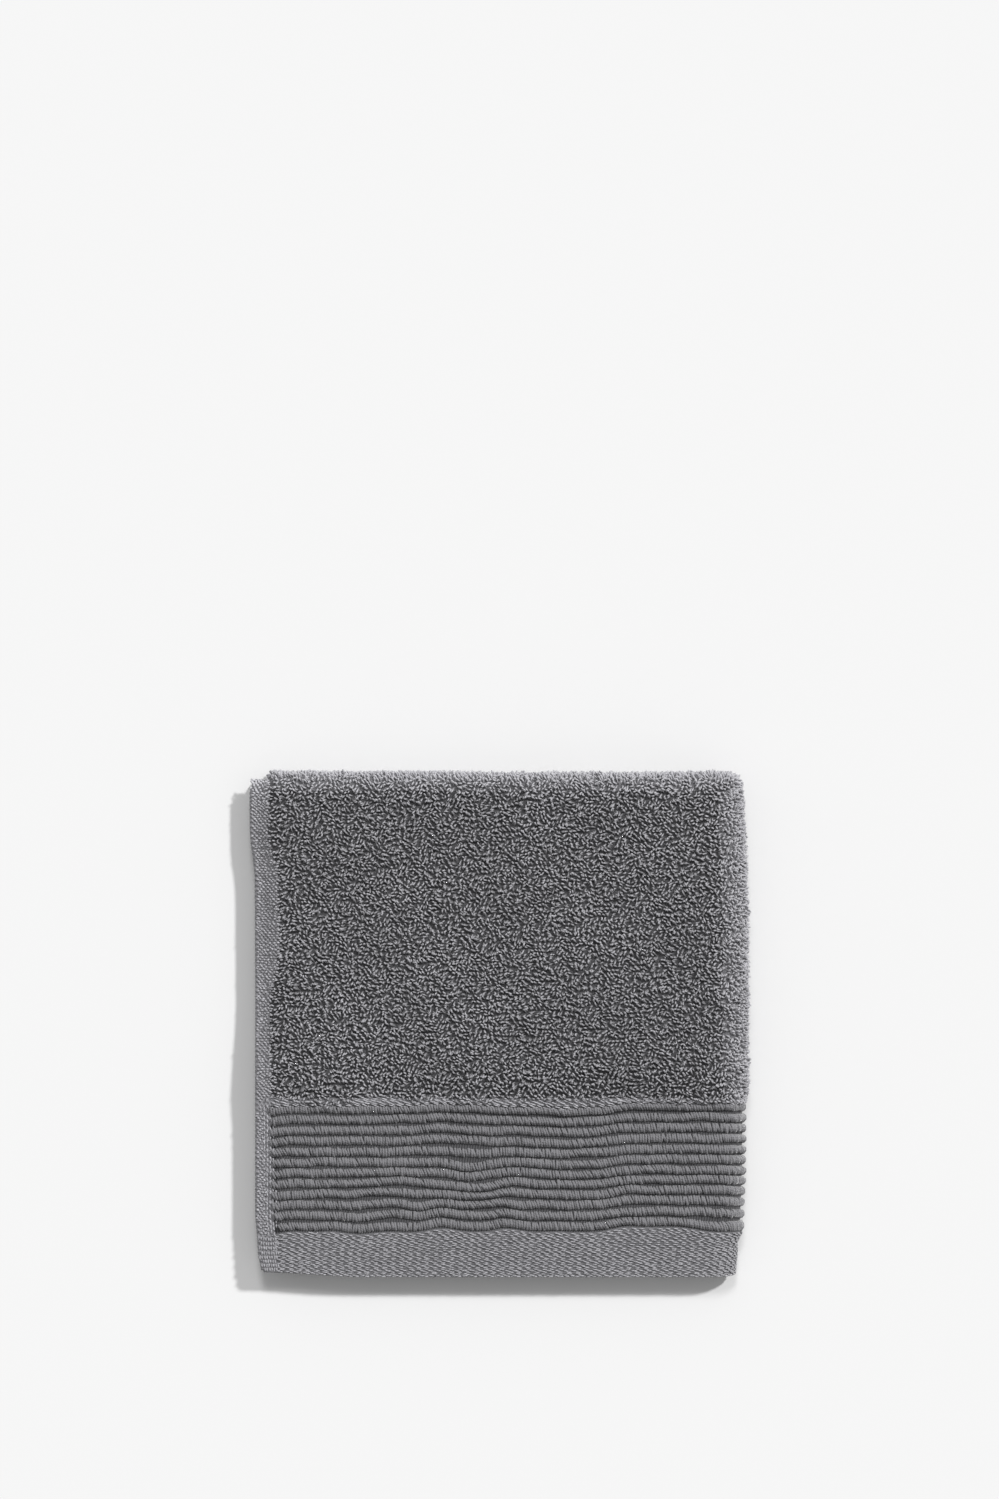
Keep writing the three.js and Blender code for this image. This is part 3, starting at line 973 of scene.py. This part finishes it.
# Two bare lines cross the selvedge where the pile ends, this far to each side.
SEAM_ROWS = (-23.5, -25.2)
SEAM_HALF = 0.34

# Width of the chain stitches, and how far chain and basket weave, and the knots, pass the pile's line.
CHAIN_WIDTH = 2.5
CHAIN_PAST = 0.5
KNOTS_PAST = 0.4
KNOTS_PAST_FOLD = 6

# Distances between rows and columns, and the jitter of each place.
KNOT_PITCH = (0.73, 1.26, 0.12)
CHAIN_PITCH = (0.735, 1.8, 0.04)
BASKET_PITCH = (1.58, 1.5, 0.04)

# Headings of knots and chain stitches, and half the gap between the floats of a pair.
KNOT_HEADING = -0.3
KNOT_SPREAD = 0.45
CHAIN_SPREAD = 0.12
BASKET_PAIR = 0.33

# How far the basket weave stays inside the hem's edge and off the ribs.
BASKET_IN = 0.9
BASKET_SHORT = 0.3


def selvedge_places(along_from, along_to, pitch, seed):
    """Places on the upper selvedge, with their distance from the pile or the ribs."""
    strip = (along_from, along_to, CLOTH_WIDTH - SELVEDGE_SPREAD, CLOTH_WIDTH)
    along, across = lattice(*strip, *pitch, seed)
    x, y = flat_place(along, across)
    from_pile = pile_line(y) - x
    on_selvedge = x > edge_line(y) + EDGE_BARE
    for seam in SEAM_ROWS:
        on_selvedge &= np.abs(y - seam) > SEAM_HALF
    return along, across, y, from_pile, on_selvedge


def selvedge_knots():
    """The selvedge's close weave, in staggered light knots."""
    rng = default_rng(62)
    beside = (RIBS_FROM - FOLD_LINE, KNOTS_PAST_FOLD)
    along, across, y, from_pile, keep = selvedge_places(*beside, KNOT_PITCH, seed=54)
    keep &= from_pile > np.where(y < PILE_FROM, CHAIN_WIDTH, -KNOTS_PAST)
    heading = KNOT_HEADING + rng.normal(0, KNOT_SPREAD, len(along))
    return floats("selvedge_knots", along, across, keep, heading, KNOTS, seed=55, material=SELVEDGE_YARN)


def selvedge_chain():
    """Columns of chain stitches between the selvedge and the ends of the ribs."""
    rng = default_rng(66)
    beside = (RIBS_FROM - FOLD_LINE, PILE_FROM - FOLD_LINE)
    along, across, _, from_pile, keep = selvedge_places(*beside, CHAIN_PITCH, seed=67)
    keep &= (from_pile > -CHAIN_PAST) & (from_pile <= CHAIN_WIDTH)
    heading = math.pi / 2 + rng.normal(0, CHAIN_SPREAD, len(along))
    return floats("selvedge_chain", along, across, keep, heading, CHAIN, seed=68, material=SELVEDGE_YARN)


def selvedge_basket():
    """Coarse weave beside the hem: staggered pairs of short upright floats."""
    beside = (HEM_ALONG + BASKET_IN, HEM_ALONG + HEM_DEPTH - BASKET_SHORT)
    along, across, _, from_pile, keep = selvedge_places(*beside, BASKET_PITCH, seed=57)
    keep &= from_pile > -CHAIN_PAST
    along = np.concatenate([along[keep], along[keep]])
    across = np.concatenate([across[keep] - BASKET_PAIR, across[keep] + BASKET_PAIR])
    heading = np.full(len(along), math.pi / 2)
    everywhere = slice(None)
    return floats("selvedge_basket", along, across, everywhere, heading, BASKET, 69, BASKET_YARN)


# Materials

# One millimetre of the cloth in its texture coordinates.
UV_SCALE = 0.01

# Sheen of the yarns and of the plain ground under them.
YARN_SHEEN = 0.6
GROUND_SHEEN = 0.25

# The cloth's faint cool cast, in the darker and in the lighter of two greys.
DARK_CAST = (1, 0.99, 1.05)
LIGHT_CAST = (1, 0.99, 1.045)

# Pitches of the woven faces in millimetres.
PLAIN_ACROSS = 0.9
PLAIN_ALONG = 0.8
HEM_ROW = 0.5
HEM_FLOAT = 2.6
SELVEDGE_ACROSS = 1.25
SELVEDGE_ALONG = 1.6


class Nodes:
    """Short ways to build a node tree."""

    def __init__(self, name):
        self.material = bpy.data.materials.new(name)
        self.material.use_nodes = True
        self.tree = self.material.node_tree
        self.shader = self.tree.nodes["Principled BSDF"]

    def add(self, kind, **settings):
        node = self.tree.nodes.new(kind)
        for key, value in settings.items():
            setattr(node, key, value)
        return node

    def put(self, socket, value):
        if isinstance(value, bpy.types.NodeSocket):
            self.tree.links.new(value, socket)
        else:
            socket.default_value = value

    def math(self, operation, a, b=0.0):
        node = self.add("ShaderNodeMath", operation=operation)
        self.put(node.inputs[0], a)
        self.put(node.inputs[1], b)
        return node.outputs[0]

    def times(self, a, b):
        return self.math("MULTIPLY", a, b)

    def blend(self, first, first_share, second, second_share):
        """Sum of two values, each times its share."""
        scaled = self.times(first, first_share)
        return self.math("ADD", scaled, self.times(second, second_share))

    def uv(self, name):
        node = self.add("ShaderNodeUVMap", uv_map=name)
        split = self.add("ShaderNodeSeparateXYZ")
        self.put(split.inputs[0], node.outputs[0])
        return split.outputs[0], split.outputs[1]

    def noise(self, scale, detail):
        node = self.add("ShaderNodeTexNoise")
        self.put(node.inputs["Scale"], scale)
        self.put(node.inputs["Detail"], detail)
        self.put(node.inputs["Vector"], self.add("ShaderNodeTexCoord").outputs["Object"])
        return node.outputs["Fac"]

    def wobble(self, scale):
        """Wandering of the threads, by up to a quarter of a millimetre."""
        centred = self.math("SUBTRACT", self.noise(scale, detail=2), 0.5)
        return self.times(centred, 0.5 * UV_SCALE)

    def wave(self, value, length, shift=0.0):
        """0 to 1 and back, once in each length."""
        turns = self.times(value, 2 * math.pi / length)
        sine = self.math("SINE", self.math("ADD", turns, shift))
        return self.math("ADD", self.times(sine, 0.5), 0.5)

    def grey(self, fac, dark, light):
        """Colour between two greys."""
        node = self.add("ShaderNodeMix", data_type="RGBA")
        self.put(node.inputs["Factor"], fac)
        node.inputs["A"].default_value = (*(dark * cast for cast in DARK_CAST), 1)
        node.inputs["B"].default_value = (*(light * cast for cast in LIGHT_CAST), 1)
        return node.outputs["Result"]

    def bump(self, height, distance, strength):
        node = self.add("ShaderNodeBump")
        self.put(node.inputs["Strength"], strength)
        self.put(node.inputs["Distance"], distance)
        self.put(node.inputs["Height"], height)
        self.put(self.shader.inputs["Normal"], node.outputs["Normal"])

    def cotton(self, colour, sheen=GROUND_SHEEN):
        self.put(self.shader.inputs["Base Color"], colour)
        self.shader.inputs["Roughness"].default_value = 0.9
        self.shader.inputs["Specular IOR Level"].default_value = 0.2
        self.shader.inputs["Sheen Weight"].default_value = sheen
        self.shader.inputs["Sheen Roughness"].default_value = 0.45
        return self.material


def yarn_material(name, dark, light, deep, plies, twist=3.4, feet=1.5, grain=0.5):
    """Two-ply cotton yarn: light plies, dark grooves, darker feet, mottled from arch to arch. The dark
    grooves between the plies and the darker feet are painted shade.

    Its feet keep the part of its shade called deep, and stay dark further up with a higher power,
    feet. Plies and grain are shares of the shade. Twist is in radians for each millimetre.
    """
    n = Nodes(name)
    around, length = n.uv("yarn")
    turned = n.blend(around, 2 * math.pi, length, twist)
    ply = n.math("POWER", n.math("ABSOLUTE", n.math("SINE", turned)), 0.6)
    fibres = n.noise(scale=4200, detail=2)
    tone = n.add("ShaderNodeAttribute", attribute_name="tone").outputs["Fac"]
    foot_shade_ramp = n.add("ShaderNodeAttribute", attribute_name="foot_shade_ramp").outputs["Fac"]
    # Painted shade at the feet of each yarn, where it meets the cloth.
    risen = n.times(n.math("POWER", foot_shade_ramp, feet), 1 - deep)
    lit = n.math("ADD", risen, deep)
    plain = n.blend(ply, plies, fibres, grain)
    shade = n.times(n.times(plain, tone), lit)
    n.bump(ply, distance=0.00009, strength=0.8)
    return n.cotton(n.grey(shade, dark, light), sheen=YARN_SHEEN)


def ground_material(name, dark, light):
    """Plain weave under the loops and on the flat band."""
    n = Nodes(name)
    u, v = n.uv("cloth")
    warp = n.wave(u, PLAIN_ACROSS * UV_SCALE)
    weft = n.wave(v, PLAIN_ALONG * UV_SCALE)
    cloth = n.times(warp, weft)
    fibres = n.noise(scale=3000, detail=3)
    # Painted shade: the weave is darker between its threads.
    shade = n.blend(cloth, 0.6, fibres, 0.5)
    n.bump(cloth, distance=0.00012, strength=0.8)
    return n.cotton(n.grey(shade, dark, light))


def cord_material():
    """Ribs where no yarns are laid over them: fine yarns across each cord."""
    n = Nodes("corded_rib")
    u, v = n.uv("cloth")
    slanted = n.math("ADD", u, n.times(v, 0.22))
    yarn = n.math("POWER", n.wave(slanted, CORD_YARN_PITCH * UV_SCALE), 0.7)
    fibres = n.noise(scale=2600, detail=3)
    # Painted shade: darker between the fine yarns across the cord.
    shade = n.blend(yarn, 0.65, fibres, 0.55)
    n.bump(yarn, distance=0.00022, strength=1.0)
    return n.cotton(n.grey(shade, dark=0.03, light=0.10))


def hem_material():
    """Hem: short floats of light yarn in staggered rows."""
    n = Nodes("hem_weave")
    u, v = n.uv("cloth")
    wobble = n.wobble(scale=260)
    sloped = n.math("ADD", n.math("ADD", v, n.times(u, 0.05)), wobble)
    row = n.math("FLOOR", n.math("DIVIDE", sloped, HEM_ROW * UV_SCALE))
    moved = n.math("ADD", u, n.times(wobble, 2.0))
    stagger = n.times(row, 3.6)
    across = n.wave(moved, HEM_FLOAT * UV_SCALE, stagger)
    thread = n.wave(sloped, HEM_ROW * UV_SCALE)
    dash = n.times(n.math("POWER", across, 0.8), n.math("POWER", thread, 0.7))
    fibres = n.noise(scale=1500, detail=3)
    # Painted shade: darker between the floats and their rows.
    shade = n.blend(dash, 0.85, fibres, 0.5)
    n.bump(dash, distance=0.00020, strength=1.0)
    return n.cotton(n.grey(shade, dark=0.09, light=0.20))


def selvedge_material():
    """Selvedge: a close staggered weave with small holes in painted shade."""
    n = Nodes("selvedge_weave")
    u, v = n.uv("cloth")
    u = n.math("ADD", u, n.wobble(scale=300))
    slope = SELVEDGE_ACROSS / SELVEDGE_ALONG
    warp = n.wave(n.math("ADD", u, n.times(v, slope)), SELVEDGE_ACROSS * UV_SCALE)
    weft = n.wave(n.math("SUBTRACT", u, n.times(v, slope)), SELVEDGE_ACROSS * UV_SCALE)
    weave = n.math("MAXIMUM", warp, weft)
    fibres = n.noise(scale=2000, detail=3)
    shade = n.blend(n.math("POWER", weave, 1.5), 0.6, fibres, 0.6)
    n.bump(weave, distance=0.00022, strength=1.0)
    return n.cotton(n.grey(shade, dark=0.13, light=0.30))


# The ground under the pile is painted dark as the shade between the loops, and less dark on the turns,
# where the loops part and let light in.
CLOTH_MATERIALS = [
    ground_material("pile_ground", dark=0.05, light=0.10),
    cord_material(),
    hem_material(),
    selvedge_material(),
    ground_material("flat_band", dark=0.12, light=0.26),
    ground_material("fold_ground", dark=0.10, light=0.22),
]
# Deep is the part of its shade a yarn keeps at its feet, which are painted in shade.
LOOP = yarn_material("terry_loop", dark=0.07, light=0.485, deep=0.2, plies=0.75, twist=4.2, feet=1.9)
CORD_YARN = yarn_material("cord_yarn", dark=0.03, light=0.205, deep=0.75, plies=0.95, twist=4.4,
                          grain=1.1)
HEM_YARN = yarn_material("hem_yarn", dark=0.08, light=0.45, deep=0.4, plies=0.8)
# The hem's edge yarn is light to paint a highlight along the hem's outer edge.
HEM_EDGE_HIGHLIGHT = yarn_material("hem_edge_highlight_yarn", dark=0.2, light=0.6, deep=0.7, plies=0.5)
BAND_YARN = yarn_material("band_yarn", dark=0.11, light=0.6, deep=0.6, plies=0.6)
SELVEDGE_YARN = yarn_material("selvedge_yarn", dark=0.14, light=0.54, deep=0.58, plies=0.55)
BASKET_YARN = yarn_material("basket_yarn", dark=0.11, light=0.46, deep=0.5, plies=0.6)


# Pieces

cloth = woven_cloth(CLOTH_MATERIALS)
pieces = [cloth]

# Loops on the outside start at the flat band, pass the back fold and keep off the lower selvedge.
PILE_ALONG = -98
PAST_TURN = 5
BARE_EDGE = 4
STRIPS = 3
FINE = {"ribbed": True, "rings": 5, "sides": 4}
outer = loop_grid(PILE_ALONG, BACK_TURN + PAST_TURN, BARE_EDGE, CLOTH_WIDTH, seed=100)
on_top = (outer[0] < 0) & (outer[1] >= TURNED)
strip = np.floor((outer[1] - TURNED) / (CLOTH_WIDTH - TURNED) * STRIPS)
for number in range(STRIPS):
    places = part(outer, on_top & (strip == number))
    name = f"pile_top_{number + 1}"
    pieces.append(terry(name, places, **FINE, seed=200 + number))
beside = part(outer, (outer[0] < 0) & (outer[1] < TURNED) & (outer[1] >= HALF_WIDTH))
pieces.append(terry("pile_side", beside, **FINE, seed=210))
behind = part(outer, (outer[0] >= 0) & (outer[1] < CLOTH_WIDTH - BARE_EDGE))
pieces.append(terry("pile_back", behind, **FINE, seed=211))
under = loop_grid(PILE_ALONG, 0, BARE_EDGE, HALF_WIDTH, seed=112, spread=1.6)
pieces.append(terry("pile_under", under, ribbed=True, rings=4, sides=3, seed=212))

# Inner faces just inside the selvedges, where the pile of each layer shows from the side.
EDGE_STRIP = 8
number = 0
for ribbed, start in ((False, PILE_ALONG), (False, BACK_TURN), (True, BACK_TURN)):
    for low in (5, CLOTH_WIDTH - 5 - EDGE_STRIP):
        end = start - PILE_ALONG
        places = loop_grid(start, end, low, low + EDGE_STRIP, seed=120 + number, spread=1.3)
        name = f"pile_edge_{number + 1}"
        pieces.append(terry(name, places, ribbed, rings=5, sides=3, seed=220 + number))
        number += 1

pieces.append(cord_yarns("rib_yarns", range(1, RIB_COUNT + 1), seed=300))
pieces.extend([hem_floats(), hem_edge(), band_floats()])
pieces.extend([selvedge_knots(), selvedge_chain(), selvedge_basket()])

for piece in pieces:
    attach(piece, "root")
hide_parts("washcloth")


# Floor, light and camera

FLOOR_SIZE = 4.0

# Azimuth is measured from +X towards +Y. All but the strengths are in degrees.
KEY = {"azimuth": 40, "elevation": 41, "strength": 2.47, "softness": 5}
FILL = {"azimuth": 92, "elevation": 54, "strength": 0.94, "softness": 16}
SKY = 0.40

# The photo's scale on the cloth, and the camera's place above the middle of the picture.
PIXEL = 0.0003
FRAME_HEIGHT = 1499
SENSOR = 36
CAMERA_HEIGHT = 2.0
CLOTH_TOP = 0.014
CAMERA_Y = 0.08268


def floor():
    bpy.ops.mesh.primitive_plane_add(size=FLOOR_SIZE, location=(0, 0, 0))
    plane = bpy.context.object
    plane.name = "floor"
    material = bpy.data.materials.new("pale_floor")
    material.use_nodes = True
    shader = material.node_tree.nodes["Principled BSDF"]
    shader.inputs["Base Color"].default_value = (0.8, 0.8, 0.8, 1)
    shader.inputs["Roughness"].default_value = 0.9
    shader.inputs["Specular IOR Level"].default_value = 0.0
    plane.data.materials.append(material)


def sun(name, azimuth, elevation, strength, softness):
    """A distant light."""
    lamp = bpy.data.lights.new(name, "SUN")
    lamp.energy = strength
    lamp.angle = math.radians(softness)
    holder = bpy.data.objects.new(name, lamp)
    bpy.context.scene.collection.objects.link(holder)
    holder.rotation_euler = (0, math.radians(90 - elevation), math.radians(azimuth))


def world():
    scene_world = bpy.data.worlds.new("studio")
    scene_world.use_nodes = True
    background = scene_world.node_tree.nodes["Background"]
    background.inputs["Color"].default_value = (1, 1, 1, 1)
    background.inputs["Strength"].default_value = SKY
    bpy.context.scene.world = scene_world


def camera():
    lens = bpy.data.cameras.new("camera")
    lens.sensor_width = SENSOR
    lens.lens = SENSOR * CAMERA_HEIGHT / (FRAME_HEIGHT * PIXEL)
    lens.clip_end = 20
    eye = bpy.data.objects.new("camera", lens)
    eye.location = (0, CAMERA_Y, CAMERA_HEIGHT + CLOTH_TOP)
    bpy.context.scene.collection.objects.link(eye)
    bpy.context.scene.camera = eye


floor()
sun("key", **KEY)
sun("fill", **FILL)
world()
camera()
bpy.context.scene.view_settings.view_transform = "Standard"
